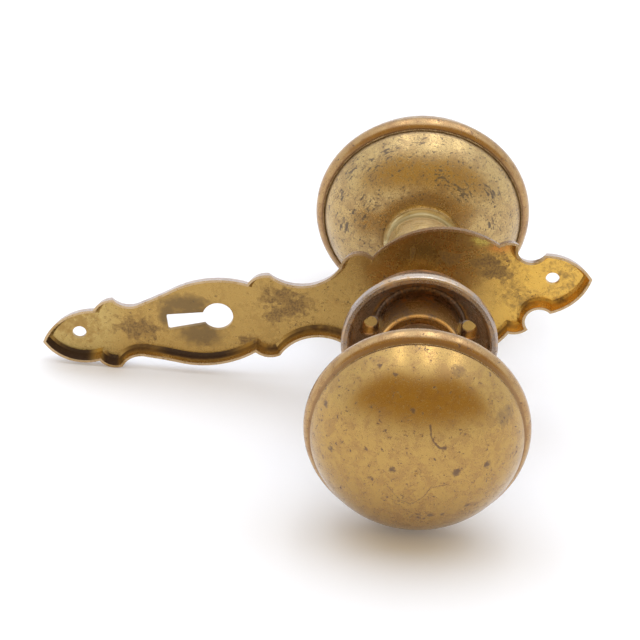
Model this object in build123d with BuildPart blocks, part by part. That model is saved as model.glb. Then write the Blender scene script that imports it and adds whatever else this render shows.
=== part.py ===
from build123d import *
import math
import os

# Passage door knob set: two hollow brass knobs on one square spindle, a long pressed
# plate with a keyhole and a cup-shaped rose. Millimetres, +Z up.
# The spindle runs along Y. The origin is on its axis, in the plane of the plate's rim,
# which is the plane of the door's face. The front knob is on the -Y side.

# Driving dimensions of the knobs
KNOB_R = 30.0                # outside of the bead
SHELL = 1.2                  # sheet of both knob shells
DOME_RISE = 18.0             # apex of the dome above its groove
DOME_EDGE_R = 28.1
GROOVE_R = 27.4              # floor of the groove between the dome and the bead
CROWN_R = 34.0               # flatter middle of the dome
CROWN_ARC = 33.0             # degrees of the crown's arc
BEAD_EDGE_R = 28.1
BEAD_MID = 4.1               # from the dome's groove to the widest line of the bead
BEAD_END = 6.9
LIP_R = 27.6                 # outside of the back shell's lip, inside the bead
FLANGE_R = 28.9              # flange that the bead is closed over
FLANGE_TOP = 2.6
NECK_SEAT = 20.4             # from the dome's groove to the neck's shoulder
SEAT_R = 11.4
FRONT_KNOB_Y = -72.5         # groove of the front knob's dome
REAR_KNOB_Y = 52.3

# Driving dimensions of the necks
SHOULDER_R = 10.7
COVE_R = 9.3
BARREL_R = 9.7
BARREL_END = 42.4            # from the dome's groove
JOURNAL_R = 6.5
JOURNAL_END = 56.9
TAIL_R = 8.6                 # passes through the shell and the clench washer
CLENCH_R = 9.9               # peened end inside the knob
WASHER_R = 11.4
WASHER_THICK = 1.5
CLENCH_THICK = 1.1
NECK_CROSS_W = 33.0          # where the set screw and the pin cross the barrel

# Driving dimensions of the spindle and its fastenings
SPINDLE = 8.0                # across flats
SPINDLE_SOCKET = 8.1
SPINDLE_FRONT_Y = -76.5
SPINDLE_REAR_Y = 36.5
SPINDLE_CHAMFER = 0.6
SET_SCREW_R = 2.5
SET_SCREW_SINK = 0.5
SET_SCREW_SLOT = 0.8
PIN_R = 1.5

# Driving dimensions of the collars
BORE_R = 6.55                # running fit on the necks' journals
MOUTH_R = 10.0               # takes the neck's barrel
COLLAR_R = 11.2
MOUTH_DEEP = 4.0

# Driving dimensions of the rose
ROSE_MOUTH_Y = -28.6
ROSE_RIM_Y = -25.9
ROSE_RIM_R = 21.2
ROSE_RIM_WIDE = 2.15
ROSE_RIM_DEEP = 2.2
ROSE_FLOOR_Y = -15.5
ROSE_BACK_Y = -13.5
ROSE_FOOT_R = 16.6
ROSE_SCREW_R = 13.35         # hole centre from the axis
ROSE_SCREW_TURN = 2.3        # degrees above the horizontal
ROSE_HOLE_R = 1.8
ROSE_SINK_R = 2.95
ROSE_BOSS_R = 3.7

# Driving dimensions of the plate, along its length from the spindle axis
PLATE_TILT = 12.78           # it rests on its lower left cusp, level with the beads
PLATE_DROP = 0.5             # its long axis lies this far below the spindle axis
PLATE_LEAN = 0.045           # what is above the long axis leans towards the right tip
PLATE_DEEP = 4.3
PLATE_SHEET = 1.2
WALL_OUTSIDE = ((0.0, 0.0), (3.2, 1.0), (PLATE_DEEP, 1.7))     # depth behind the rim, set in
WALL_INSIDE = ((0.0, 0.7), (2.5, 1.5), (PLATE_DEEP - PLATE_SHEET, 2.2))
PLATE_HOLE_R = 6.7
PLATE_SCREWS = (-95.2, 36.4)
PLATE_SCREW_R = 1.9
KEY_X = -56.5
KEY_R = 4.25
KEY_NECK = 3.3               # width of the slot where it leaves the circle
KEY_END = 5.0                # width of the slot at its square end
KEY_END_X = -70.6
KEY_CORNER = 0.6
PLATE_COLLAR_BACK = 14.0
COLLAR_FLANGE_R = 12.8
COLLAR_FLANGE = 1.5

AXIS = Axis((0, 0, 0), (0, 1, 0))
FRONT = Plane(origin=(0, FRONT_KNOB_Y, 0), x_dir=(1, 0, 0), z_dir=(0, 0, 1))
REAR = Plane(origin=(0, REAR_KNOB_Y, 0), x_dir=(1, 0, 0), z_dir=(0, 0, -1))
tilt = math.radians(PLATE_TILT)
PLATE = Plane(
    origin=(PLATE_DROP * math.sin(tilt), 0, -PLATE_DROP * math.cos(tilt)),
    x_dir=(math.cos(tilt), 0, math.sin(tilt)), z_dir=(0, -1, 0),
)

# Upper half of the plate's rim: start, middle and end of each arc, left tip to right tip
PLATE_ARCS = [
    ((-105.2, 0.0), (-98.7, 6.65), (-90.3, 8.0)),
    ((-90.3, 8.0), (-87.6, 10.3), (-84.2, 10.65)),
    ((-84.2, 10.65), (-81.0, 8.2), (-77.3, 8.4)),
    ((-77.3, 8.4), (-73.5, 9.6), (-69.0, 11.2)),
    ((-69.0, 11.2), (-58.5, 13.4), (-47.0, 10.9)),
    ((-47.0, 10.9), (-43.8, 12.85), (-40.3, 12.7)),
    ((-40.3, 12.7), (-31.5, 8.25), (-21.3, 12.6)),
    ((-21.3, 12.6), (-17.8, 16.3), (-12.0, 14.8)),
    ((-12.0, 14.8), (5.5, 21.3), (23.0, 14.0)),
    ((23.0, 14.0), (25.8, 14.4), (28.4, 13.4)),
    ((28.4, 13.4), (30.2, 7.7), (34.9, 9.2)),
    ((34.9, 9.2), (42.3, 6.3), (47.3, 0.0)),
]


def knob_dome(plane):
    """Outer shell, its edge rolled into the bead and closed over the back's flange."""
    with BuildPart() as dome:
        with BuildSketch(plane):
            with BuildLine():
                crown = JernArc((0, -DOME_RISE), (1, 0), CROWN_R, CROWN_ARC)
                shoulder = TangentArc(crown @ 1, (DOME_EDGE_R, -0.5), tangent=crown % 1)
                groove = Polyline(shoulder @ 1, (GROOVE_R, 0.1), (GROOVE_R + 0.1, 0.6),
                                  (BEAD_EDGE_R, 1.1))
                bead = ThreePointArc(groove @ 1, (KNOB_R, BEAD_MID), (BEAD_EDGE_R + 0.2, BEAD_END))
                inner_r = LIP_R - SHELL
                seam = Polyline(
                    bead @ 1, (LIP_R, BEAD_END), (LIP_R, FLANGE_TOP + SHELL),
                    (FLANGE_R, FLANGE_TOP + SHELL), (FLANGE_R, FLANGE_TOP),
                    (inner_r, FLANGE_TOP), (inner_r, 0),
                )
                inner_crown = JernArc((0, SHELL - DOME_RISE), (1, 0), CROWN_R - SHELL, CROWN_ARC)
                TangentArc(inner_crown @ 1, seam @ 1, tangent=inner_crown % 1)
                Line(inner_crown @ 0, crown @ 0)
            make_face()
        revolve(axis=AXIS)
    return dome.part


def knob_back(plane):
    """Bowl behind the bead: a lip and flange held in the bead, and a flat seat for the neck."""
    with BuildPart() as back:
        with BuildSketch(plane):
            with BuildLine():
                bowl = ThreePointArc((LIP_R, BEAD_END), (21.5, 15.9), (SEAT_R, NECK_SEAT))
                hub = Polyline(bowl @ 1, (TAIL_R, NECK_SEAT), (TAIL_R, NECK_SEAT - SHELL),
                               (SEAT_R, NECK_SEAT - SHELL))
                inner = ThreePointArc(hub @ 1, (20.7, 15.0), (LIP_R - SHELL, BEAD_END - 0.3))
                Polyline(inner @ 1, (LIP_R - SHELL, FLANGE_TOP), (FLANGE_R, FLANGE_TOP),
                         (FLANGE_R, FLANGE_TOP + SHELL), (LIP_R, FLANGE_TOP + SHELL), bowl @ 0)
            make_face()
        revolve(axis=AXIS)
    return back.part


def knob_neck(plane, cross_r):
    """Turned shank: shoulder, cove, barrel and journal, with a square socket right through."""
    clench = NECK_SEAT - SHELL - WASHER_THICK
    with BuildPart() as neck:
        with BuildSketch(plane):
            with BuildLine():
                tail = Polyline(
                    (0, clench - CLENCH_THICK), (CLENCH_R - 0.5, clench - CLENCH_THICK),
                    (CLENCH_R, clench - 0.4), (CLENCH_R, clench), (TAIL_R, clench),
                    (TAIL_R, NECK_SEAT), (SHOULDER_R - 0.2, NECK_SEAT), (SHOULDER_R, NECK_SEAT + 0.3),
                    (SHOULDER_R, NECK_SEAT + 1.0),
                )
                cove = ThreePointArc(tail @ 1, (COVE_R + 0.3, NECK_SEAT + 1.6), (COVE_R, NECK_SEAT + 2.8))
                Polyline(
                    cove @ 1, (BARREL_R, NECK_SEAT + 3.8), (BARREL_R, BARREL_END - 0.4),
                    (BARREL_R - 0.4, BARREL_END), (JOURNAL_R, BARREL_END),
                    (JOURNAL_R, JOURNAL_END - 0.4), (JOURNAL_R - 0.4, JOURNAL_END),
                    (0, JOURNAL_END), tail @ 0,
                )
            make_face()
        revolve(axis=AXIS)
        with BuildSketch(Plane(plane.origin, x_dir=(1, 0, 0), z_dir=(0, 1, 0))):
            Rectangle(SPINDLE_SOCKET, SPINDLE_SOCKET)
        extrude(amount=JOURNAL_END + 1, both=True, mode=Mode.SUBTRACT)
        with BuildSketch(cross_plane(plane)):
            Circle(cross_r)
        extrude(amount=KNOB_R, both=cross_r == PIN_R, mode=Mode.SUBTRACT)
    return neck.part


def cross_plane(plane):
    """Plane on the axis, facing +X, at the place where a fastening crosses the barrel."""
    return Plane(plane.from_local_coords((0, NECK_CROSS_W, 0)), x_dir=(0, 1, 0), z_dir=(1, 0, 0))


def clench_washer(plane):
    """Steel washer inside the knob that the neck's tail is peened over."""
    with BuildPart() as washer:
        with BuildSketch(plane):
            top = NECK_SEAT - SHELL
            with Locations(((TAIL_R + WASHER_R) / 2, top - WASHER_THICK / 2)):
                Rectangle(WASHER_R - TAIL_R, WASHER_THICK)
        revolve(axis=AXIS)
    return washer.part


def crossing(first, second, near):
    """The point where two circles cross, of the two the one that is nearer to a point."""
    (centre, radius), (other, other_radius) = first, second
    apart = other - centre
    along = (apart.length ** 2 + radius ** 2 - other_radius ** 2) / (2 * apart.length)
    aside = math.sqrt(radius ** 2 - along ** 2)
    foot = centre + apart.normalized() * along
    side = Vector(-apart.Y, apart.X).normalized() * aside
    return min(foot + side, foot - side, key=lambda point: (point - near).length)


def plate_section(depth, set_in):
    """The plate's outline at a depth behind its rim, every arc set in by the same amount."""
    lower = [[(x, -y) for x, y in reversed(arc)] for arc in reversed(PLATE_ARCS)]
    arcs = PLATE_ARCS + lower
    circles = []
    for start, middle, end in arcs:
        rim_arc = ThreePointArc(start, middle, end)
        bulge = (Vector(end) - Vector(start)).cross(Vector(middle) - Vector(start)).Z
        circles.append((rim_arc.arc_center, rim_arc.radius - math.copysign(set_in, bulge)))
    corners = [crossing(before, circle, Vector(arc[0]))
               for before, circle, arc in zip(circles[-1:] + circles, circles, arcs)]
    with BuildSketch(PLATE.offset(-depth)) as section:
        with BuildLine():
            for arc, circle, start, end in zip(arcs, circles, corners, corners[1:] + corners[:1]):
                centre, radius = circle
                middle = centre + (Vector(arc[1]) - centre).normalized() * radius
                ThreePointArc(*[(point.X + PLATE_LEAN * point.Y, point.Y)
                                for point in (start, middle, end)])
        make_face()
    return section.sketch


def save(part, name):
    part.label = name
    export_step(part, f"parts/{name}.step")


os.makedirs("parts", exist_ok=True)

# Front knob
front_dome = knob_dome(FRONT)
front_back = knob_back(FRONT)
front_neck = knob_neck(FRONT, SET_SCREW_R)
front_washer = clench_washer(FRONT)

# Rear knob
rear_dome = knob_dome(REAR)
rear_back = knob_back(REAR)
rear_neck = knob_neck(REAR, PIN_R)
rear_washer = clench_washer(REAR)

# Square spindle: one length of bar with chamfered ends, drilled for the rear knob's pin
spindle_plane = Plane(origin=(0, SPINDLE_FRONT_Y, 0), x_dir=(1, 0, 0), z_dir=(0, 1, 0))
with BuildPart() as spindle:
    with BuildSketch(spindle_plane):
        Rectangle(SPINDLE, SPINDLE)
    extrude(amount=SPINDLE_REAR_Y - SPINDLE_FRONT_Y)
    chamfer(spindle.edges().filter_by(Axis.Y, reverse=True), SPINDLE_CHAMFER)
    with BuildSketch(cross_plane(REAR)):
        Circle(PIN_R)
    extrude(amount=SPINDLE, both=True, mode=Mode.SUBTRACT)

# Cross pin: holds the rear knob on the spindle, ends flush with the barrel
with BuildPart() as rear_pin:
    with BuildSketch(cross_plane(REAR)):
        Circle(PIN_R)
    extrude(amount=BARREL_R - 0.2, both=True)

# Set screw: headless, slotted, bears on the spindle's flat
set_screw_plane = cross_plane(FRONT).offset(SPINDLE / 2)
set_screw_length = BARREL_R - SET_SCREW_SINK - SPINDLE / 2
with BuildPart() as set_screw:
    with BuildSketch(set_screw_plane):
        Circle(SET_SCREW_R - 0.05)
    extrude(amount=set_screw_length)
    with BuildSketch(set_screw_plane.offset(set_screw_length)):
        Rectangle(SET_SCREW_SLOT, 3 * SET_SCREW_R)
    extrude(amount=-2 * SET_SCREW_SLOT, mode=Mode.SUBTRACT)

# Rose: cast cup with a turned rim, a flat foot, a tall collar and two countersunk bosses
rose_turn = math.radians(ROSE_SCREW_TURN)
rose_back = Plane(
    origin=(0, ROSE_BACK_Y, 0),
    x_dir=(math.cos(rose_turn), 0, math.sin(rose_turn)), z_dir=(0, -1, 0),
)
floor_high = ROSE_BACK_Y - ROSE_FLOOR_Y
rim_inner_r = ROSE_RIM_R - ROSE_RIM_WIDE
with BuildPart() as rose:
    with BuildSketch(Plane.XY):
        with BuildLine():
            rim = Polyline((rim_inner_r, ROSE_RIM_Y + 0.5), (rim_inner_r + 0.5, ROSE_RIM_Y),
                           (ROSE_RIM_R - 0.6, ROSE_RIM_Y))
            edge = ThreePointArc(rim @ 1, (ROSE_RIM_R - 0.15, ROSE_RIM_Y + 0.3),
                                 (ROSE_RIM_R, ROSE_RIM_Y + 0.9))
            side = Line(edge @ 1, (ROSE_RIM_R, ROSE_RIM_Y + ROSE_RIM_DEEP))
            flare = ThreePointArc(side @ 1, (18.5, -18.2), (ROSE_FOOT_R, ROSE_BACK_Y))
            bore = Polyline(flare @ 1, (BORE_R, ROSE_BACK_Y), (BORE_R, ROSE_MOUTH_Y + MOUTH_DEEP),
                            (MOUTH_R, ROSE_MOUTH_Y + MOUTH_DEEP), (MOUTH_R, ROSE_MOUTH_Y + 0.4),
                            (MOUTH_R + 0.3, ROSE_MOUTH_Y), (COLLAR_R - 0.4, ROSE_MOUTH_Y),
                            (COLLAR_R, ROSE_MOUTH_Y + 0.4), (COLLAR_R, ROSE_FLOOR_Y - 1.2))
            root = TangentArc(bore @ 1, (COLLAR_R + 1.2, ROSE_FLOOR_Y), tangent=(0, 1))
            ThreePointArc(root @ 1, (15.8, -18.2), rim @ 0)
        make_face()
    revolve(axis=AXIS)
    with BuildSketch(rose_back):
        with Locations((-ROSE_SCREW_R, 0), (ROSE_SCREW_R, 0)):
            Circle(ROSE_BOSS_R)
    extrude(amount=floor_high)
    with BuildSketch(rose_back.offset(floor_high)):
        with Locations((-ROSE_SCREW_R, 0), (ROSE_SCREW_R, 0)):
            Circle(ROSE_SINK_R)
    extrude(amount=-ROSE_RIM_Y, mode=Mode.SUBTRACT)
    with BuildSketch(rose_back):
        with Locations((-ROSE_SCREW_R, 0), (ROSE_SCREW_R, 0)):
            Circle(ROSE_HOLE_R)
    extrude(amount=floor_high, mode=Mode.SUBTRACT)
    sink = rose.edges().filter_by(GeomType.CIRCLE).filter_by(
        lambda e: abs(e.radius - ROSE_HOLE_R) < 0.01 and abs(e.center().Y - ROSE_FLOOR_Y) < 0.01)
    chamfer(sink, ROSE_SINK_R - ROSE_HOLE_R - 0.02)


# Sections of the pressed pan, the same above and below the plate's long axis
outside = [plate_section(depth, set_in) for depth, set_in in WALL_OUTSIDE]
inside = [plate_section(depth, set_in) for depth, set_in in WALL_INSIDE]

# Keyhole: a circle and a slot that widens towards its square end, lying along the plate
with BuildSketch() as key_slot:
    with BuildLine():
        Polyline((KEY_X, KEY_NECK / 2), (KEY_END_X, KEY_END / 2), (KEY_END_X, -KEY_END / 2),
                 (KEY_X, -KEY_NECK / 2), close=True)
    make_face()
    fillet(key_slot.vertices().sort_by(Axis.X)[:2], KEY_CORNER)

# Long plate: a thin pan pressed from sheet, open towards the door, with a sloping wall
with BuildPart() as long_plate:
    loft(sections=outside, ruled=True)
    loft(sections=inside, ruled=True, mode=Mode.SUBTRACT)
    with BuildSketch(PLATE):
        add(key_slot.sketch)
        with Locations((KEY_X, 0)):
            Circle(KEY_R)
        with Locations((0, PLATE_DROP)):
            Circle(PLATE_HOLE_R)
        with Locations(*[(x, 0) for x in PLATE_SCREWS]):
            Circle(PLATE_SCREW_R)
    extrude(amount=-PLATE_DEEP, mode=Mode.SUBTRACT)

# Plate collar: turned bush, brazed by its flange to the plate's face, bearing for the rear neck
flange_y = PLATE_DEEP + COLLAR_FLANGE
mouth_floor = PLATE_COLLAR_BACK - MOUTH_DEEP - 0.2
with BuildPart() as plate_collar:
    with BuildSketch(Plane.XY):
        with BuildLine():
            Polyline(
                (BORE_R, PLATE_DEEP), (COLLAR_FLANGE_R, PLATE_DEEP), (COLLAR_FLANGE_R, flange_y - 0.5),
                (COLLAR_FLANGE_R - 0.5, flange_y), (COLLAR_R, flange_y),
                (COLLAR_R, PLATE_COLLAR_BACK - 0.4), (COLLAR_R - 0.4, PLATE_COLLAR_BACK),
                (MOUTH_R, PLATE_COLLAR_BACK), (MOUTH_R, mouth_floor), (BORE_R, mouth_floor),
                close=True,
            )
        make_face()
    revolve(axis=AXIS)

for piece, name in (
    (front_dome, "front_knob_dome"), (front_back, "front_knob_back"),
    (front_neck, "front_neck"), (front_washer, "front_clench_washer"),
    (rear_dome, "rear_knob_dome"), (rear_back, "rear_knob_back"),
    (rear_neck, "rear_neck"), (rear_washer, "rear_clench_washer"),
    (spindle.part, "spindle"), (rear_pin.part, "rear_pin"), (set_screw.part, "set_screw"),
    (rose.part, "rose"), (long_plate.part, "long_plate"), (plate_collar.part, "plate_collar"),
):
    save(piece, name)
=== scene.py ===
# %% [markdown]
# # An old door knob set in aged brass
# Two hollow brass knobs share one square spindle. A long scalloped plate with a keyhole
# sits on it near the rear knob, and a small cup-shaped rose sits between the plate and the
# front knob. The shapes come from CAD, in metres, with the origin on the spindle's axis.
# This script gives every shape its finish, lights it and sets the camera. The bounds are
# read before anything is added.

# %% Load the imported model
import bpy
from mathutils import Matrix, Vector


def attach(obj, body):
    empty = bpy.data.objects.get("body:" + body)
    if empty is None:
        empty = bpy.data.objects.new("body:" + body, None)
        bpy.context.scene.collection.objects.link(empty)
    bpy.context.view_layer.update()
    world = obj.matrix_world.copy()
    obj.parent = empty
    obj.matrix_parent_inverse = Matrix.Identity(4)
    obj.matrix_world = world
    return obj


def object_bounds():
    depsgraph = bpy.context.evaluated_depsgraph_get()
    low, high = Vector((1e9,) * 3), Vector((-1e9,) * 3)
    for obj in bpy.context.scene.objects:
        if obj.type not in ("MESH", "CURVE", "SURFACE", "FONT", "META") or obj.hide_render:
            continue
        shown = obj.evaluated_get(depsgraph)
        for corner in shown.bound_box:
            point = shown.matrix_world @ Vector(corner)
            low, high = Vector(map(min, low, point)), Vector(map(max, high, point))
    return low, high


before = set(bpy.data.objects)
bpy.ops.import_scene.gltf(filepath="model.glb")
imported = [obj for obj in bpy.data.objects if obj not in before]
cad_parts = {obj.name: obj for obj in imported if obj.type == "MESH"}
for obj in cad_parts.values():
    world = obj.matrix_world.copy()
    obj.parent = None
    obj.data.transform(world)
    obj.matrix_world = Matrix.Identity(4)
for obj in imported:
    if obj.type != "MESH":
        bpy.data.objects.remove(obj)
cad_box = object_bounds()
print("pieces:", len(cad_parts), "lowest corner:", [round(v, 4) for v in cad_box[0]])

# %% [markdown]
# ## The camera
# The object was seen from about 30 degrees above, from far away through a long lens, so
# the two knobs look almost the same size. The camera could be placed by eye, but its place
# was worked out from the circles of the knobs, so here it is given as numbers: the lens,
# two angles, a small turn about the spindle, and the point where the eye is.

# %% Camera at the viewing angle of the picture
import math
import bpy
from mathutils import Matrix, Vector

PICTURE_SIDE = 640
FOCAL_PIXELS = 5215.84
SENSOR_WIDTH = 36.0
LOOK_DOWN = math.radians(30.34987)
LOOK_ASIDE = math.radians(-1.666)
TURN_ABOUT_SPINDLE = math.radians(4.38)
EYE = Vector((0.0084036, -1.2361364, 0.7165437))

right = Vector((math.cos(LOOK_ASIDE), -math.sin(LOOK_ASIDE), 0.0))
ahead = Vector((math.sin(LOOK_ASIDE) * math.cos(LOOK_DOWN),
                math.cos(LOOK_ASIDE) * math.cos(LOOK_DOWN), -math.sin(LOOK_DOWN)))
upward = right.cross(ahead)
axes = Matrix((right, upward, -ahead)).transposed().to_4x4()
camera_data = bpy.data.cameras.new("camera")
camera_data.sensor_width = SENSOR_WIDTH
camera_data.lens = FOCAL_PIXELS / PICTURE_SIDE * SENSOR_WIDTH
camera_data.clip_end = 20.0
camera = bpy.data.objects.new("camera", camera_data)
camera.matrix_world = (Matrix.Rotation(-TURN_ABOUT_SPINDLE, 4, "Y")
                       @ Matrix.Translation(EYE) @ axes)
bpy.context.collection.objects.link(camera)
bpy.context.scene.camera = camera
print("lens:", round(camera_data.lens, 2), "mm, camera at", [round(v, 3) for v in camera.location])

# %% [markdown]
# ## Helpers for node trees
# Finishes, the sky and the crumbs of polish are all node trees. Nodes could be placed by hand
# in the editor, but a tree built in a script can be read, changed and built again. The helpers
# keep each step to one line: add a node, calculate, multiply, take the strongest of several
# masks, step between two limits, mask what is near a value, and blend two colours.

# %% Node helpers
def add_node(tree, kind, inputs=None, **settings):
    """Adds a node, sets it, and joins or sets each named input."""
    made = tree.nodes.new(kind)
    for name, value in settings.items():
        setattr(made, name, value)
    for name, value in (inputs or {}).items():
        if isinstance(value, bpy.types.NodeSocket):
            tree.links.new(value, made.inputs[name])
        else:
            made.inputs[name].default_value = value
    return made


def calculate(tree, operation, first, second=0.0, third=0.0, clamp=False):
    """One Math node, which gives back its value."""
    made = add_node(tree, "ShaderNodeMath", {0: first, 1: second, 2: third}, operation=operation)
    made.use_clamp = clamp
    return made.outputs[0]


def times(tree, *values):
    """The product of several values at each point."""
    product = values[0]
    for value in values[1:]:
        product = calculate(tree, "MULTIPLY", product, value)
    return product


def strongest(tree, *masks):
    """The strongest of several masks at each point."""
    most = masks[0]
    for mask in masks[1:]:
        most = calculate(tree, "MAXIMUM", most, mask)
    return most


def ramp(tree, value, low, high, start=0.0, end=1.0):
    """A smooth step of a value between two limits."""
    made = add_node(tree, "ShaderNodeMapRange", {0: value, 1: low, 2: high, 3: start, 4: end},
                    interpolation_type="SMOOTHSTEP")
    return made.outputs[0]


def near(tree, value, middle, reach):
    """A soft mask that is 1 where a value is close to a middle."""
    gap = calculate(tree, "ABSOLUTE", calculate(tree, "SUBTRACT", value, middle))
    return ramp(tree, gap, reach, reach * 0.4)


def blend_colours(tree, share, first, second):
    """Mixes two colours by a share from 0 to 1."""
    made = add_node(tree, "ShaderNodeMix", {0: share, 6: first, 7: second}, data_type="RGBA")
    return made.outputs[2]


print("helpers:", [helper.__name__ for helper in (add_node, calculate, times, strongest, ramp, near,
                                                  blend_colours)])

# %% [markdown]
# ## White table
# The set lies on a plain white table. Paper is never quite white: it takes a little blue from
# the daylight, so the table does too. It also glows very faintly, as thin paper does where light
# comes through from below, which keeps its shadows pale. One large plane is enough, because a
# matt table shows no detail of its own.

# %% White table
TABLE_HALF = 3.0
TABLE_GAP = 0.0001
PAPER = {"Base Color": (0.93, 0.935, 0.945, 1), "Roughness": 0.75, "Specular IOR Level": 0.2,
         "Emission Color": (0.85, 0.92, 1.0, 1), "Emission Strength": 0.075}
table_z = cad_box[0][2] - TABLE_GAP
table_mesh = bpy.data.meshes.new("table")
table_mesh.from_pydata([(x * TABLE_HALF, y * TABLE_HALF, table_z)
                        for x, y in ((-1, -1), (1, -1), (1, 1), (-1, 1))], [], [(0, 1, 2, 3)])
table = bpy.data.objects.new("table", table_mesh)
bpy.context.collection.objects.link(table)
white = bpy.data.materials.new("white_table")
white.use_nodes = True
for label, value in PAPER.items():
    white.node_tree.nodes["Principled BSDF"].inputs[label].default_value = value
table_mesh.materials.append(white)
print("table at z", round(table_z, 4))

# %% [markdown]
# ## Soft light all round
# The light comes from all sides and is brightest overhead. Lamps would leave hard spots on
# brass, so the whole sky is the light. Its colours depend on the way that a ray goes: the third
# part of that way is 0 for a level ray and 1 for one straight up. The plain view transform keeps
# the table white and the brass yellow.

# %% Sky
TENT_WALL = (0.92, 0.96, 1.02, 1)
CEILING = (1.18, 1.25, 1.42, 1)
SKY_STRENGTH = 1.15
sky = bpy.data.worlds.new("sky")
sky.use_nodes = True
bpy.context.scene.world = sky
tree = sky.node_tree
ray_way = add_node(tree, "ShaderNodeTexCoord").outputs["Generated"]
way_x, way_y, way_z = add_node(tree, "ShaderNodeSeparateXYZ", {0: ray_way}).outputs
tent = blend_colours(tree, ramp(tree, way_z, 0.50, 0.88), TENT_WALL, CEILING)
tree.nodes["Background"].inputs["Strength"].default_value = SKY_STRENGTH
bpy.context.scene.view_settings.view_transform = "Standard"
print("sky strength:", SKY_STRENGTH)

# %% [markdown]
# ### A room to reflect
# Polished brass shows whatever is round it, and without a dark part its domes look flat. A dark
# card could stand there, but its hard edge would show in the brass. One dim warm part of the sky
# has soft edges: it is in front, from the table's edge up to where the ceiling starts, and stands
# for the room behind the camera.

# %% Dim warm room
WARM_ROOM = (0.50, 0.345, 0.115, 1)
room_top = ramp(tree, way_z, 0.97, 0.84)
room_foot = ramp(tree, way_z, 0.0, 0.40)
room_side = ramp(tree, way_y, -0.08, -0.36)
with_room = blend_colours(tree, times(tree, room_foot, room_top, room_side), tent, WARM_ROOM)
print("room colour:", WARM_ROOM[:3])

# %% [markdown]
# ### Three ceiling panels
# The top of each dome shows three soft streaks, so three long panels hang overhead. Area lamps
# could make them, but panels in the sky need no place of their own. A ray meets a flat ceiling
# at its x and y over its z, and a zigzag of that x repeats one panel.

# %% Ceiling panels
PANEL_LIGHT = (4.6, 4.7, 4.9, 1)
PANEL_STEP = 0.45
PANEL_MIDDLE = 0.085
PANEL_HALF = 0.14
high_z = calculate(tree, "MAXIMUM", way_z, 0.3)
across = calculate(tree, "DIVIDE", way_x, high_z)
from_panel = calculate(tree, "PINGPONG", calculate(
    tree, "DIVIDE", calculate(tree, "SUBTRACT", across, PANEL_MIDDLE), PANEL_STEP), 0.5)
three_of_them = near(tree, across, PANEL_MIDDLE, 1.6 * PANEL_STEP)
panel_length = near(tree, calculate(tree, "DIVIDE", way_y, high_z), 0.35, 0.65)
panels = times(tree, ramp(tree, from_panel, PANEL_HALF, PANEL_HALF / 2), three_of_them, panel_length)
tree.links.new(blend_colours(tree, panels, with_room, PANEL_LIGHT),
               tree.nodes["Background"].inputs["Color"])
print("panels at", [round(PANEL_MIDDLE + PANEL_STEP * k, 3) for k in (-1, 0, 1)], "of their height")

# %% [markdown]
# ## Effects that several finishes share
# Old brass is never one colour. It has soft clouds of brown oxide, small dark pits and
# specks, and fine scratches from years of hands and keys. Each of these could be painted
# on a picture, but a picture stretches on round shapes. They are made here from noise in
# space instead, once each, as node groups whose inputs are sizes in millimetres. A place
# in millimetres is the object's own coordinates times a thousand.

# %% Group maker
def new_group(name, inputs, outputs):
    """An empty shader node group with its sockets, and its two end nodes."""
    tree = bpy.data.node_groups.new(name, "ShaderNodeTree")
    for label, kind, value in inputs:
        socket = tree.interface.new_socket(name=label, in_out="INPUT",
                                           socket_type="NodeSocket" + kind)
        if value is not None:
            socket.default_value = value
    for label, kind in outputs:
        tree.interface.new_socket(name=label, in_out="OUTPUT", socket_type="NodeSocket" + kind)
    return tree, add_node(tree, "NodeGroupInput").outputs, add_node(tree, "NodeGroupOutput")


def use_group(tree, group, inputs):
    """Places a node group in a tree, with its own values."""
    return add_node(tree, "ShaderNodeGroup", inputs, node_tree=group).outputs


def noise(tree, place, scale, detail, roughness=0.5, distortion=0.0):
    """Noise in space. Its scale is one over the size of its lumps."""
    return add_node(tree, "ShaderNodeTexNoise", {
        "Vector": place, "Scale": scale, "Detail": detail, "Roughness": roughness,
        "Distortion": distortion}).outputs


def vector_math(tree, operation, *inputs):
    """One Vector Math node."""
    return add_node(tree, "ShaderNodeVectorMath", dict(enumerate(inputs)),
                    operation=operation).outputs


print("group helpers:", new_group.__name__, use_group.__name__, noise.__name__)

# %% [markdown]
# ### Clouds of oxide
# Oxide spreads in soft patches, with a finer grain inside them. Two noises of the same place
# give both, and each finish mixes them as it needs. The noises have four dimensions, and the
# fourth is the seed, so that two pieces side by side don't share their clouds.

# %% Clouds of oxide
TIMES_FINER = 7.0
clouds_group, given, result = new_group(
    "oxide_clouds", [("Place", "Vector", None), ("Size", "Float", 10.0), ("Seed", "Float", 0.0)],
    [("Broad", "Float"), ("Fine", "Float")])
closeness = calculate(clouds_group, "DIVIDE", 1.0, given["Size"])
shifted = vector_math(clouds_group, "ADD", given["Place"], (17.3, 31.1, 7.7))[0]
for label, scale, detail, roughness, distortion in (
        ("Broad", closeness, 4.0, 0.6, 0.4),
        ("Fine", times(clouds_group, closeness, TIMES_FINER), 5.0, 0.7, 0.0)):
    lumps = add_node(clouds_group, "ShaderNodeTexNoise", {
        "Vector": shifted, "W": given["Seed"], "Scale": scale, "Detail": detail,
        "Roughness": roughness, "Distortion": distortion}, noise_dimensions="4D")
    clouds_group.links.new(lumps.outputs["Fac"], result.inputs[label])
print(clouds_group.name, "has", len(clouds_group.nodes), "nodes")

# %% [markdown]
# ### Pits and specks
# Lacquer fails in points, and dirt fills them. One noise gives their ragged shapes, and random
# cells choose where they are at all, so that some parts stay clean.

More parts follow.
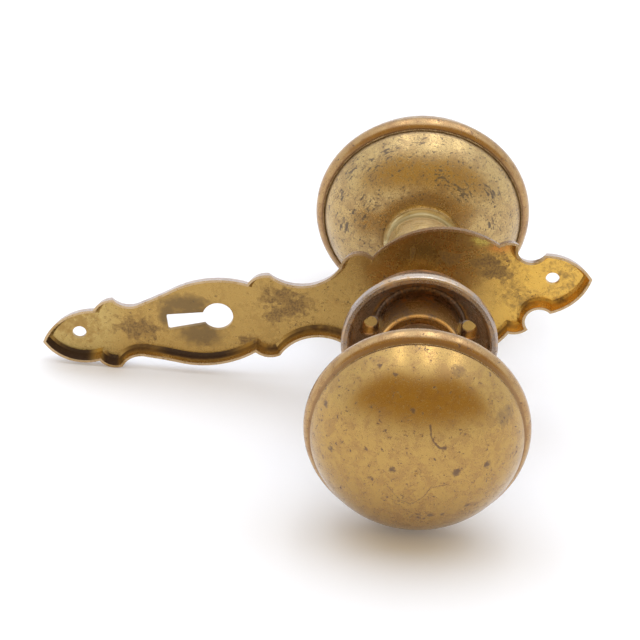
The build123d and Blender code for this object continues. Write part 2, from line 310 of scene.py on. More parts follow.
# %% Pits and specks
specks_group, given, result = new_group(
    "pits_and_specks", [("Place", "Vector", None), ("Size", "Float", 1.0), ("Cover", "Float", 0.3)],
    [("Specks", "Float")])
closeness = calculate(specks_group, "DIVIDE", 1.0, given["Size"])
shapes = noise(specks_group, given["Place"], closeness, 3.0, 0.6, 0.6)["Fac"]
cells = add_node(specks_group, "ShaderNodeTexVoronoi", {
    "Vector": given["Place"], "Randomness": 1.0, "Scale": times(specks_group, closeness, 0.45)})
chance = add_node(specks_group, "ShaderNodeSeparateColor", {0: cells.outputs["Color"]}).outputs[1]
there = ramp(specks_group, calculate(specks_group, "SUBTRACT", given["Cover"], chance), -0.05, 0.05)
specks_group.links.new(times(specks_group, ramp(specks_group, shapes, 0.58, 0.66), there),
                       result.inputs["Specks"])
print(specks_group.name, "has", len(specks_group.nodes), "nodes")

# %% [markdown]
# ### Fine scratches
# Cloths and keys leave long thin lines that bend a little. Noise that is squeezed along one way
# does that, a slow second noise bends it, and the turn lets two sets cross.

# %% Fine scratches
scratch_group, given, result = new_group(
    "fine_scratches",
    [("Place", "Vector", None), ("Turn", "Vector", (0, 0, 0)), ("Length", "Float", 6.0)],
    [("Scratches", "Float")])
turned = add_node(scratch_group, "ShaderNodeVectorRotate", {
    "Vector": given["Place"], "Rotation": given["Turn"]}, rotation_type="EULER_XYZ").outputs[0]
sway = noise(scratch_group, turned, 0.07, 1.0)["Color"]
curved = vector_math(scratch_group, "MULTIPLY_ADD", sway, (9.0, 9.0, 9.0), turned)[0]
squeezed = add_node(scratch_group, "ShaderNodeMapping",
                    {"Vector": curved, "Scale": (1.0, 20.0, 20.0)}).outputs[0]
closeness = calculate(scratch_group, "DIVIDE", 1.0, given["Length"])
streaks = noise(scratch_group, squeezed, closeness, 1.5, 0.4)["Fac"]
scratch_group.links.new(ramp(scratch_group, streaks, 0.66, 0.74), result.inputs["Scratches"])
print(scratch_group.name, "has", len(scratch_group.nodes), "nodes")

# %% [markdown]
# ### Smudges at a place
# Some stains have a known place. The distance from their middle, pushed about by noise, gives a
# stain with a ragged edge, which no pure noise could put where it belongs.

# %% Ragged smudge at a place
smudge_group, given, result = new_group(
    "ragged_smudge",
    [("Place", "Vector", None), ("Centre", "Vector", None), ("Reach", "Vector", (5, 5, 5)),
     ("Ragged", "Float", 0.5)],
    [("Smudge", "Float")])
offset = vector_math(smudge_group, "SUBTRACT", given["Place"], given["Centre"])[0]
share = vector_math(smudge_group, "DIVIDE", offset, given["Reach"])[0]
far = vector_math(smudge_group, "LENGTH", share)["Value"]
edge = calculate(smudge_group, "SUBTRACT",
                 noise(smudge_group, given["Place"], 0.55, 5.0, 0.65)["Fac"], 0.5)
ragged_far = calculate(smudge_group, "MULTIPLY_ADD", edge,
                       times(smudge_group, given["Ragged"], 4.0), far)
smudge_group.links.new(ramp(smudge_group, ragged_far, 1.15, 0.35), result.inputs["Smudge"])


def smudge(tree, place, centre, reach, ragged):
    """One stain, with its middle and its reach in millimetres."""
    return use_group(tree, smudge_group, {"Place": place, "Centre": centre, "Reach": reach,
                                          "Ragged": ragged})["Smudge"]


print(smudge_group.name, "has", len(smudge_group.nodes), "nodes")

# %% [markdown]
# ## Aged brass
# Each brass piece is the same metal in a different state: handled knobs, a polished
# shank, a dull plate, a grimy rose. So one group mixes clean metal, tarnish and grime
# from the effects above, and each finish gives it other colours and amounts. The nodes could
# be repeated in each finish, but then every change would have to be made in all of them.

# %% Aged metal: clouds of tarnish
aged_group, given, result = new_group(
    "aged_metal",
    [("Place", "Vector", None), ("Seed", "Float", 0.0), ("Metal", "Color", (0.5, 0.32, 0.1, 1)),
     ("Tarnish", "Color", (0.25, 0.15, 0.06, 1)), ("Grime", "Color", (0.05, 0.035, 0.025, 1)),
     ("Cloud size", "Float", 12.0), ("Tarnish cover", "Float", 0.5),
     ("Speck size", "Float", 1.2), ("Speck cover", "Float", 0.2), ("Scratch share", "Float", 0.3),
     ("Smooth", "Float", 0.25), ("Dull", "Float", 0.5), ("Film", "Float", 0.0),
     ("More tarnish", "Float", 0.0), ("More grime", "Float", 0.0)],
    [("Color", "Color"), ("Roughness", "Float"), ("Metallic", "Float"), ("Height", "Float")])
clouds = use_group(aged_group, clouds_group,
                   {"Place": given["Place"], "Size": given["Cloud size"], "Seed": given["Seed"]})
level = calculate(aged_group, "MULTIPLY_ADD", clouds["Fine"], 0.7,
                  times(aged_group, clouds["Broad"], 1.1))
limit = calculate(aged_group, "MULTIPLY_ADD", given["Tarnish cover"], -0.42, 1.12)
patchy = ramp(aged_group, calculate(aged_group, "SUBTRACT", level, limit), -0.12, 0.16)
tarnish = calculate(aged_group, "ADD", patchy, given["More tarnish"], clamp=True)
print(aged_group.name, "has", len(aged_group.interface.items_tree), "sockets")

# %% [markdown]
# ### Dirt and scratches on the metal
# Dirt lies in specks and, finer, as dust in pits. Real dirt gathers where the metal is already
# dull, so the specks' cover follows the broad clouds. Two sets of scratches cross.

# %% Aged metal: dirt and scratches
cloudy_cover = times(aged_group, given["Speck cover"],
                     ramp(aged_group, clouds["Broad"], 0.35, 0.7, 0.1, 2.0))
specks = use_group(aged_group, specks_group, {"Place": given["Place"], "Size": given["Speck size"],
                                              "Cover": cloudy_cover})["Specks"]
dust_size = times(aged_group, given["Speck size"], 0.4)
dust = use_group(aged_group, specks_group, {"Place": given["Place"], "Size": dust_size,
                                            "Cover": given["Speck cover"]})["Specks"]
dots = strongest(aged_group, specks, times(aged_group, dust, 0.7))
grime = strongest(aged_group, dots, given["More grime"])
SCRATCH_SETS = (((0.4, 0.9, 0.3), 6.0), ((1.9, 0.2, 1.3), 4.0))
crossing = [use_group(aged_group, scratch_group, {"Place": given["Place"], "Turn": turn,
                                                  "Length": length})["Scratches"]
            for turn, length in SCRATCH_SETS]
lines = times(aged_group, given["Scratch share"], strongest(aged_group, *crossing))
print("sets of scratches:", len(SCRATCH_SETS))

# %% [markdown]
# ### Colour and shine of the metal
# Tarnish dulls metal, and grime is not metal at all, so it takes the metallic value down where
# it lies. A scratch goes through both and shows clean metal. The height feeds a Bump node in
# each finish, so that pits sink and scratches catch light.

# %% Aged metal: colour, shine and height
coated = blend_colours(aged_group, tarnish, given["Metal"], given["Tarnish"])
dirty = blend_colours(aged_group, times(aged_group, grime, 0.85), coated, given["Grime"])
scratched = blend_colours(aged_group, times(aged_group, lines, 0.55), dirty, given["Metal"])
sheen = calculate(aged_group, "MULTIPLY_ADD", tarnish,
                  calculate(aged_group, "SUBTRACT", given["Dull"], given["Smooth"]), given["Smooth"])
uneven = calculate(aged_group, "MULTIPLY_ADD", clouds["Fine"], 0.14, -0.07)
dulled = calculate(aged_group, "MULTIPLY_ADD", grime, 0.22, calculate(aged_group, "ADD", sheen, uneven))
filmed = calculate(aged_group, "MULTIPLY_ADD", grime, 0.7, given["Film"])
bare = calculate(aged_group, "SUBTRACT", 1.0, filmed, clamp=True)
pitted = calculate(aged_group, "MULTIPLY_ADD", dots, -0.7, times(aged_group, clouds["Fine"], 0.35))
carved = calculate(aged_group, "MULTIPLY_ADD", lines, -0.35, pitted)
for label, socket in (("Color", scratched), ("Roughness", dulled), ("Metallic", bare),
                      ("Height", carved)):
    aged_group.links.new(socket, result.inputs[label])
print("node groups:", len(bpy.data.node_groups))

# %% [markdown]
# ### A finish from the group
# Every finish starts from the same shader and the object's own place in millimetres. The shader
# could be inside the group too, but it stays in each material, where lacquer can be added.

# %% Finish maker
MM_IN_METRE = 1000.0
BUMP_STRENGTH = 0.6
LACQUER = {"Coat Weight": 0.45, "Coat Roughness": 0.3}


def new_finish(name):
    """An empty finish: its node tree, its shader and the place in millimetres."""
    material = bpy.data.materials.new(name)
    material.use_nodes = True
    tree = material.node_tree
    own = add_node(tree, "ShaderNodeTexCoord").outputs["Object"]
    place = vector_math(tree, "MULTIPLY", own, (MM_IN_METRE, MM_IN_METRE, MM_IN_METRE))[0]
    return material, tree, tree.nodes["Principled BSDF"], place


def age(tree, shader, depth, values):
    """Feeds the shader from the aged metal group, with a bump of a depth in millimetres."""
    aged = use_group(tree, aged_group, values)
    bump = add_node(tree, "ShaderNodeBump", {"Strength": BUMP_STRENGTH, "Distance": depth / MM_IN_METRE,
                                             "Height": aged["Height"]})
    for label, socket in (("Base Color", aged["Color"]), ("Roughness", aged["Roughness"]),
                          ("Metallic", aged["Metallic"]), ("Normal", bump.outputs[0])):
        tree.links.new(socket, shader.inputs[label])
    return aged, bump


def lacquer(shader):
    """What is left of the lacquer: a thin, slightly dull coat."""
    for label, value in LACQUER.items():
        shader.inputs[label].default_value = value


print("bump strength:", BUMP_STRENGTH)

# %% [markdown]
# ### Marks at known places
# Some marks are spots and thin strokes at known places. They could be drawn on a picture, but
# then they would stretch on the domes, so each is a distance in space: from a point for a spot,
# from the nearest point of a line for a stroke. Noise that pushes the place first makes them
# ragged.

# %% Spots and strokes
def ragged_place(tree, place, push, closeness):
    """The place pushed about by noise, so that a round mark on it gets a ragged edge."""
    lumps = noise(tree, place, closeness, 4.0, 0.65)["Color"]
    shift = vector_math(tree, "SUBTRACT", lumps, (0.5, 0.5, 0.5))[0]
    return vector_math(tree, "MULTIPLY_ADD", shift, (push, push, push), place)[0]


def spots(tree, place, middles):
    """One mask for many spots, each with its middle and its radius in millimetres."""
    return strongest(tree, *(
        ramp(tree, vector_math(tree, "DISTANCE", place, middle)["Value"], radius * 1.25, radius * 0.45)
        for middle, radius in middles))


def stroke(tree, place, start, end, width):
    """A mask for one thin scratch between two points."""
    whole = Vector(end) - Vector(start)
    offset = vector_math(tree, "SUBTRACT", place, start)[0]
    share = vector_math(tree, "DOT_PRODUCT", offset, tuple(whole / whole.length ** 2))["Value"]
    held = calculate(tree, "ADD", share, 0.0, clamp=True)
    nearest = add_node(tree, "ShaderNodeVectorMath", {0: tuple(whole), "Scale": held},
                       operation="SCALE")
    gap = vector_math(tree, "DISTANCE", offset, nearest.outputs[0])["Value"]
    return ramp(tree, gap, width, width * 0.3)


print("markers:", [helper.__name__ for helper in (ragged_place, spots, stroke)])

# %% [markdown]
# ## The knobs
# The knobs are spun from sheet and were lacquered once. Hands wore the domes to a warm tan
# gold, and the lacquer failed in dark specks, thickest on the back shells. The bead is worn to a
# dull pinkish tan. Its grooves could be found by hand, but their place is known from the
# drawing, so their masks come from the distance along the spindle and from it. Both knobs are
# alike, so the distance along it is taken from the middle between them.

# %% Zones of the knobs
KNOBS_MIDDLE_Y = -10.1
DOME_GROOVE = 62.4
WAY_RADIUS = 22.0


def around_spindle(tree, place):
    """Distance from the spindle, place along it, and both with the way round as a length."""
    x, y, z = add_node(tree, "ShaderNodeSeparateXYZ", {0: place}).outputs
    distance = calculate(tree, "SQRT", calculate(tree, "MULTIPLY_ADD", x, x, times(tree, z, z)))
    way = times(tree, calculate(tree, "ARCTAN2", x, z), WAY_RADIUS)
    turned = add_node(tree, "ShaderNodeCombineXYZ", {0: distance, 1: way, 2: y}).outputs[0]
    return distance, y, turned


def from_knobs_middle(tree, along_y):
    """Distance along the spindle from the middle between the knobs."""
    return calculate(tree, "ABSOLUTE", calculate(tree, "SUBTRACT", along_y, KNOBS_MIDDLE_Y))


def knob_zones(tree, place):
    """Distance from the spindle, the place round it, and masks for the grooves and the bead."""
    off_axis, along_y, turned = around_spindle(tree, place)
    from_middle = from_knobs_middle(tree, along_y)
    groove = times(tree, near(tree, from_middle, DOME_GROOVE - 0.7, 1.7),
                   ramp(tree, off_axis, 29.0, 28.3))
    lip = times(tree, near(tree, from_middle, DOME_GROOVE - 7.2, 1.1),
                ramp(tree, off_axis, 28.9, 28.1))
    bead = times(tree, ramp(tree, from_middle, DOME_GROOVE - 0.7, DOME_GROOVE - 1.3),
                 ramp(tree, off_axis, 27.8, 28.1))
    return off_axis, turned, strongest(tree, groove, lip), bead


print("dome groove at", DOME_GROOVE, "mm from the middle of the set")

# %% [markdown]
# ### Marks on a dome
# A dome with evenly scattered specks looks printed. Real ones have a few large spots, places
# where small dots crowd, patches where the lacquer is worn through, one short deep scratch and
# one hairline. These have their own places, in millimetres. All pieces share one origin, so the
# marks lie on the front dome only, though the rear dome has the same finish.

# %% Places of the dome's marks
DOME_SPOTS = (((-13.1, -84.1, 14.8), 0.6), ((-2.3, -86.3, 16.2), 0.75), ((-9.0, -87.7, 10.2), 0.5),
              ((-13.5, -87.4, 4.1), 0.55), ((-6.2, -89.9, 0.0), 1.1), ((10.4, -88.9, 0.1), 1.2),
              ((18.4, -85.1, 1.1), 1.1), ((-22.4, -81.9, -0.1), 0.9), ((-12.3, -88.2, -0.3), 0.45),
              ((-11.5, -88.2, -4.1), 0.7), ((14.4, -84.8, -12.1), 0.9), ((4.9, -86.6, -15.0), 1.0),
              ((-24.9, -72.5, 12.6), 1.0), ((-24.6, -76.2, 10.0), 1.1), ((-7.6, -79.9, 22.9), 0.7),
              ((-11.8, -77.1, 23.3), 0.7), ((6.8, -89.0, 7.3), 0.6), ((1.9, -86.2, -16.2), 0.8),
              ((8.0, -86.0, -14.6), 0.8))
WORN_PATCHES = (((21.6, -79.3, 12.1), 2.6), ((23.2, -77.0, 12.6), 2.0), ((8.8, -78.0, 24.0), 2.0))
DOTTED_PATCHES = WORN_PATCHES + (((-3.0, -88.9, -9.8), 2.6), ((2.0, -86.4, -16.4), 4.0),
                                 ((15.0, -83.0, -14.0), 3.0))
DEEP_SCRATCH = ((2.5, -87.8, 13.0), (2.9, -88.5, 10.6), (3.7, -88.9, 8.9), (5.4, -89.2, 7.3),
                (7.1, -88.9, 7.3))
HAIRLINE = ((-6.9, -89.35, -5.5), (-3.4, -88.9, -9.6), (-0.2, -88.8, -10.7), (2.6, -89.55, -7.6),
            (4.0, -90.0, -4.6), (8.5, -89.25, -3.5))
print("dome marks:", len(DOME_SPOTS), "spots,", len(DOTTED_PATCHES), "dotted patches, 2 scratches")

# %% [markdown]
# ### Finish of the domes
# The strongest mark counts at each point, as grime: dark, dull and not metal. The bead gets its
# own metal colour. The grooves get more tarnish and a little grime, partly old dirt and partly
# painted shade in their hollows. Old lacquer lies over all of it as a coat.

# %% Dome finish
dome_finish, tree, shader, place = new_finish("knob_brass")
_, _, grooves, bead = knob_zones(tree, place)
ragged = ragged_place(tree, place, 2.6, 1.1)
slightly_ragged = ragged_place(tree, place, 0.9, 1.6)
very_ragged = ragged_place(tree, place, 5.0, 0.5)
deep_scratch, hairline = [
    strongest(tree, *(stroke(tree, slightly_ragged, start, end, width)
                      for start, end in zip(way, way[1:])))
    for way, width in ((DEEP_SCRATCH, 0.42), (HAIRLINE, 0.20))]
dots = times(tree, ramp(tree, noise(tree, place, 1.3, 3.0, 0.6)["Fac"], 0.54, 0.62),
             spots(tree, ragged, DOTTED_PATCHES))
marks = strongest(tree, spots(tree, ragged, DOME_SPOTS), dots, deep_scratch,
                  times(tree, hairline, 0.7),
                  times(tree, spots(tree, very_ragged, WORN_PATCHES), 0.45))
age(tree, shader, 0.05, {
    "Place": place, "Seed": 3.0,
    "Metal": blend_colours(tree, bead, (0.458, 0.279, 0.077, 1), (0.46, 0.285, 0.115, 1)),
    "Tarnish": blend_colours(tree, bead, (0.385, 0.220, 0.068, 1), (0.37, 0.205, 0.080, 1)),
    "Grime": (0.082, 0.034, 0.017, 1), "Cloud size": 3.0, "Tarnish cover": 0.5,
    "Speck size": 0.8, "Speck cover": 0.36, "Scratch share": 0.25, "Smooth": 0.23, "Dull": 0.30,
    # The grooves are darkened, partly as old dirt and partly as painted shade in their hollows.
    "More tarnish": times(tree, grooves, 0.9),
    "More grime": strongest(tree, times(tree, grooves, 0.3), times(tree, marks, 0.92))})
lacquer(shader)
print(dome_finish.name, "has", len(tree.nodes), "nodes")

# %% [markdown]
# ### Finish of the back shells
# The back shells were spun on a lathe, so what scratched and pitted them runs round the
# spindle. Dashes could be strokes, but there are hundreds: they come from noise that is
# stretched along that way, and they are dense only in the places where the lacquer failed most.

# %% Back shell finish
SHELL_PATCHES = (((-15.6, 38.9, 18.2), 3.6), ((-10.7, 40.0, 22.4), 3.6), ((-3.5, 42.0, 25.9), 2.6),
                 ((3.4, 34.6, 18.8), 3.0), ((6.5, 34.4, 17.2), 2.8), ((10.4, 34.4, 15.4), 3.6),
                 ((-23.2, 39.4, 7.0), 4.0), ((-15.9, 34.1, 8.7), 4.0), ((-17.7, 34.1, 3.7), 3.8),
                 ((-13.4, 33.0, 7.6), 2.4), ((16.8, 37.2, 14.8), 2.4), ((19.4, 38.2, 13.4), 2.6),
                 ((19.4, 35.4, 4.6), 3.0), ((-21.4, 41.8, 14.4), 2.8), ((-22.0, 37.0, 0.5), 3.0))
shell_finish, tree, shader, place = new_finish("back_shell_brass")
off_axis, turned, grooves, _ = knob_zones(tree, place)
drawn_out = add_node(tree, "ShaderNodeMapping", {"Vector": ragged_place(tree, turned, 1.2, 0.5),
                                                 "Scale": (1.0, 0.33, 1.0)}).outputs[0]
patches = spots(tree, ragged_place(tree, place, 5.0, 0.45), SHELL_PATCHES)
large_noise = noise(tree, drawn_out, 1.25, 2.0)["Fac"]
small_noise = noise(tree, drawn_out, 3.4, 2.0, 0.6)["Fac"]
large_dashes = calculate(tree, "MULTIPLY_ADD", patches, 0.12, large_noise)
small_dashes = calculate(tree, "MULTIPLY_ADD", patches, 0.05, small_noise)
dashes = times(tree, ramp(tree, off_axis, 14.0, 17.5),
               strongest(tree, ramp(tree, large_dashes, 0.65, 0.74),
                         ramp(tree, small_dashes, 0.62, 0.72)))
age(tree, shader, 0.05, {
    "Place": place, "Seed": 4.0, "Metal": (0.540, 0.370, 0.145, 1), "Tarnish": (0.440, 0.285, 0.115, 1),
    "Grime": (0.040, 0.026, 0.022, 1), "Cloud size": 3.2, "Tarnish cover": 0.45, "Speck size": 0.7,
    "Speck cover": 1.0, "Scratch share": 0.3, "Smooth": 0.25, "Dull": 0.36, "Film": 0.08,
    # The grooves are darkened, partly as old dirt and partly as painted shade in their hollows.
    "More tarnish": times(tree, grooves, 0.8),
    "More grime": strongest(tree, times(tree, grooves, 0.3), times(tree, dashes, 0.9))})
lacquer(shader)
print(shell_finish.name, "has", len(SHELL_PATCHES), "dense patches")

# %% [markdown]
# ## The necks
# The rear shank is polished pale by use, and the front one is a darker copper brown. Turned
# brass has faint rings round it. They could be cut in the mesh, but a bump from noise that only
# changes along the spindle is lighter and sharp from any distance. The dark line under each
# shank's lip is painted shade.

# %% Neck finishes
UNDER_LIP = 39.3


def neck_finish(name, metal, tarnish, film):
    """Turned brass with faint rings round it, in its own colours."""
    material, tree, shader, place = new_finish(name)
    along_y = add_node(tree, "ShaderNodeSeparateXYZ", {0: place}).outputs["Y"]
    rings = add_node(tree, "ShaderNodeTexNoise", {"W": along_y, "Scale": 3.0, "Detail": 3.0},
                     noise_dimensions="1D").outputs["Fac"]
    # Painted shade under the shank's lip: more tarnish and a little grime in a band there.
    shade_under_lip = near(tree, from_knobs_middle(tree, along_y), UNDER_LIP, 2.0)
    aged, bump = age(tree, shader, 0.04, {
        "Place": place, "Seed": 8.0, "Metal": metal, "Tarnish": tarnish, "Film": film,
        "Cloud size": 4.0, "Tarnish cover": 0.4, "Speck size": 0.9, "Speck cover": 0.06,
        "Scratch share": 0.2, "Smooth": 0.15, "Dull": 0.26,
        "More tarnish": strongest(tree, shade_under_lip, ramp(tree, rings, 0.50, 0.68)),
        "More grime": times(tree, shade_under_lip, 0.35)})
    tree.links.new(calculate(tree, "MULTIPLY_ADD", rings, 0.6, aged["Height"]), bump.inputs["Height"])
    return material


rear_neck_finish = neck_finish("rear_neck_brass", (0.96, 0.83, 0.50, 1), (0.52, 0.40, 0.17, 1), 0.28)
front_neck_finish = neck_finish("front_neck_brass", (0.42, 0.26, 0.13, 1), (0.26, 0.14, 0.065, 1), 0.25)
print("neck finishes:", rear_neck_finish.name, front_neck_finish.name)

# %% [markdown]
# ## The long plate
# The plate was pressed from sheet and then lacquered. Its pan is golden where it was never
# touched, brown in clouds, and dark where grime ran out of the keyhole. The stains could be
# random, but a viewer knows them by their places, so each is a ragged smudge with a middle and
# a reach: soft grey grime round the keyhole, brown patches where the lacquer came off, and
# peppered places.

# %% Places of the plate's stains
KEYHOLE_GREY = (((-61.0, -14.0), (11, 6.5)), ((-59.5, -19.0), (7.5, 4.5)), ((-64.0, -10.0), (8, 3.5)),
                ((-68.5, -13.5), (3.5, 5)))
BROWN_PATCHES = (((-38.0, -4.8), (6.2, 3.0)), ((-34.8, -8.0), (5.4, 4.8)), ((-38.5, -10.5), (4.5, 3.4)),
                 ((6.3, 11.5), (4.2, 2.6)), ((17.2, 11.4), (5.4, 2.7)), ((19.4, 8.4), (4.8, 2.9)),
                 ((-77.0, -18.5), (7.5, 3.6)), ((-46.5, -19.5), (3.6, 1.6)), ((-3.4, 12.2), (0.6, 2.6)))
PEPPERED_PLACES = (((-81.9, -14.8), (5.0, 3.6)), ((-35.0, -9.0), (8.0, 8.5)),
                   ((-24.0, -3.0), (8.0, 4.0)), ((-17.5, 4.0), (4.0, 3.0)),
                   ((-59.0, -20.5), (5.0, 1.8)), ((13.0, 10.0), (10.0, 5.0)))
PAN_FLOOR_Y = 3.0
STAIN_DEPTH = 8.0


def stain_mask(tree, place, stains, ragged):
    """One mask for many ragged stains, each with its middle (x, z) and its reach in mm."""
    return strongest(tree, *(
        smudge(tree, place, (x, PAN_FLOOR_Y, z), (wide, STAIN_DEPTH, high), ragged)
        for (x, z), (wide, high) in stains))


print("plate stains:", len(KEYHOLE_GREY) + len(BROWN_PATCHES) + len(PEPPERED_PLACES))

# %% [markdown]
# ### Sides and walls of the plate
# The pan's inner wall that faces up is made darker deeper in the pan and in patches. Its outer
# wall was never lacquered, so it went greyish pink, and hands kept its back brown gold. Faces could
# be picked by number, but the surface's own direction tells these sides apart at any density of
# the mesh.

# %% Sides and walls of the plate
plate_finish, tree, shader, place = new_finish("plate_brass")
plate_x, plate_y, _ = add_node(tree, "ShaderNodeSeparateXYZ", {0: place}).outputs
own_way = add_node(tree, "ShaderNodeTexCoord").outputs["Normal"]
_, facing_y, facing_z = add_node(tree, "ShaderNodeSeparateXYZ", {0: own_way}).outputs
outside = ramp(tree, facing_y, 0.05, 0.20)
back = ramp(tree, facing_y, 0.55, 0.85)
front = ramp(tree, facing_y, 0.3, -0.1)
rim_face = ramp(tree, plate_y, 0.25, 0.08)
# The inner wall that faces up is made darker deeper in the pan and in patches.
inner_wall = times(tree, ramp(tree, facing_z, 0.35, 0.65), ramp(tree, facing_y, 0.02, -0.05))
cloudy_wall = times(tree, ramp(tree, plate_y, 0.5, 2.2),
                    ramp(tree, noise(tree, place, 0.09, 3.0)["Fac"], 0.40, 0.60), 0.7)
left_wall = strongest(tree, ramp(tree, plate_x, -87.0, -90.5), near(tree, plate_x, -83.5, 3.2))
middle_wall = times(tree, near(tree, plate_x, -60.0, 17.0), ramp(tree, plate_y, 0.7, 1.9))
walls = times(tree, inner_wall, strongest(tree, cloudy_wall, left_wall, middle_wall))
print("nodes for the plate's sides:", len(tree.nodes))

# %% [markdown]
# ### The plate's metal
# The right end is painted a brighter deep gold, as painted light reflected there, and the left tip
# went lemon. One cusp has a painted orange reflection with a painted yellow glint. The colours blend
# along the plate, with no edge there.

# %% Metal colours of the plate
# The brighter gold towards the right end is painted reflected light.
pan_gold_and_painted_light = blend_colours(tree, ramp(tree, plate_x, 9.0, 30.0), (0.490, 0.312, 0.093, 1),
                         (0.860, 0.530, 0.110, 1))
pan_gold_and_painted_light = blend_colours(tree, ramp(tree, plate_x, -78.0, -88.0), pan_gold_and_painted_light, (0.560, 0.400, 0.140, 1))
# A painted orange reflection on one cusp, and a painted yellow glint beside it.
painted_orange_reflection = smudge(tree, place, (20.5, 2.0, 16.2), (5.5, STAIN_DEPTH, 2.4), 0.2)
pan_gold_and_painted_light = blend_colours(tree, painted_orange_reflection, pan_gold_and_painted_light, (0.72, 0.34, 0.08, 1))
glint = smudge(tree, place, (15.0, 2.6, 17.4), (3.6, STAIN_DEPTH, 1.8), 0.2)
pan_gold_and_painted_light = blend_colours(tree, glint, pan_gold_and_painted_light, (0.86, 0.76, 0.20, 1))
rimmed = blend_colours(tree, rim_face, pan_gold_and_painted_light, (0.56, 0.40, 0.22, 1))
outer_metal = blend_colours(tree, back, (0.43, 0.32, 0.25, 1), (0.50, 0.335, 0.155, 1))
outer_tarnish = blend_colours(tree, back, (0.34, 0.24, 0.18, 1), (0.33, 0.205, 0.085, 1))
print("nodes with the plate's colours:", len(tree.nodes))

# %% [markdown]
# ### Finish of the plate
# A brown patch is a crowd of tiny dots, not a flat stain, so grain from the clouds breaks it up.
# The grime by the keyhole is soft and greyer. The stains lie on the front only.

# %% Plate finish
keyhole_grey = times(tree, stain_mask(tree, place, KEYHOLE_GREY, 0.3), front)
brown = times(tree, stain_mask(tree, place, BROWN_PATCHES, 0.9), front)
grain = ramp(tree, use_group(tree, clouds_group, {"Place": place, "Size": 3.2, "Seed": 3.0})["Fine"],
             0.44, 0.58, 0.18, 0.85)
pepper = times(tree, stain_mask(tree, place, PEPPERED_PLACES, 0.5),
               use_group(tree, specks_group, {"Place": place, "Size": 0.8, "Cover": 2.0})["Specks"])
pan_grime = blend_colours(tree, keyhole_grey, (0.120, 0.068, 0.026, 1), (0.080, 0.062, 0.034, 1))
age(tree, shader, 0.04, {
    "Place": place, "Seed": 5.0, "Metal": blend_colours(tree, outside, rimmed, outer_metal),
    "Tarnish": blend_colours(tree, walls, blend_colours(tree, outside, (0.400, 0.245, 0.075, 1),
                                                        outer_tarnish), (0.10, 0.052, 0.020, 1)),
    "Grime": blend_colours(tree, walls, pan_grime, (0.035, 0.016, 0.008, 1)),
    "Cloud size": 8.0, "Tarnish cover": 0.32, "Speck size": 0.7, "Speck cover": 0.12,
    "Scratch share": 0.3, "Smooth": 0.25, "Dull": 0.36, "Film": 0.18,
    "More tarnish": strongest(tree, walls, times(tree, strongest(tree, brown, keyhole_grey), 0.8)),
    "More grime": strongest(tree, times(tree, keyhole_grey, 0.58), times(tree, brown, grain),
                            times(tree, pepper, 0.8), times(tree, walls, 0.95))})
print(plate_finish.name, "has", len(tree.nodes), "nodes")

# %% [markdown]
# ## The rose
# The rose is a small casting that once was plated: its rim is worn to a greyish silver with
# gold showing through, and its hollow is dark with grime. Two materials could be given to two
# sets of faces, but the change is gradual. Masks by the distance from the spindle and the place
# along it keep the rim bright and the hollow dark, and place painted highlights, painted shade
# and painted side light.

# %% Zones of the rose
rose_finish, tree, shader, place = new_finish("rose_brass")
off_axis, rose_y, _ = around_spindle(tree, place)
rose_x, _, rose_z = add_node(tree, "ShaderNodeSeparateXYZ", {0: place}).outputs
hollow = strongest(tree, ramp(tree, off_axis, 15.6, 15.0),
                   times(tree, ramp(tree, off_axis, 18.6, 17.9), ramp(tree, rose_y, -24.6, -21.6)))
# Painted side light: the hollow is lighter and greyer, and the rim darker, towards the left and right.
painted_side_light = ramp(tree, calculate(tree, "ABSOLUTE", rose_x), 7.0, 14.0)
rust = smudge(tree, place, (0, -15, 12), (13, 6, 9), 1.0)
# Painted highlight on the low part of the floor.
painted_floor_highlight = times(tree, ramp(tree, rose_y, -16.6, -15.8), ramp(tree, off_axis, 15.9, 15.0),
                  ramp(tree, rose_z, 9.5, 7.0))
# Painted highlight on the hub's front.
painted_hub_highlight = times(tree, ramp(tree, off_axis, 11.9, 11.5), ramp(tree, rose_y, -18.5, -22.5))
# Painted shade round the upper part of the hub's foot.
painted_hub_foot_shade = times(tree, near(tree, off_axis, 12.0, 1.2), ramp(tree, rose_z, -6.0, -1.0))
print("nodes for the rose's zones:", len(tree.nodes))

# %% [markdown]
# ### Finish of the rose
# The colours follow the zones: brown inside, painted lighter and greyer to the left and right,
# then a gold painted highlight on the hub's front and the low part of the floor, then a dark painted
# shade round the upper part of the hub's foot. The rim is painted lighter in the middle than at its
# sides. Rust-red oxide is spread over the upper half of the hollow.

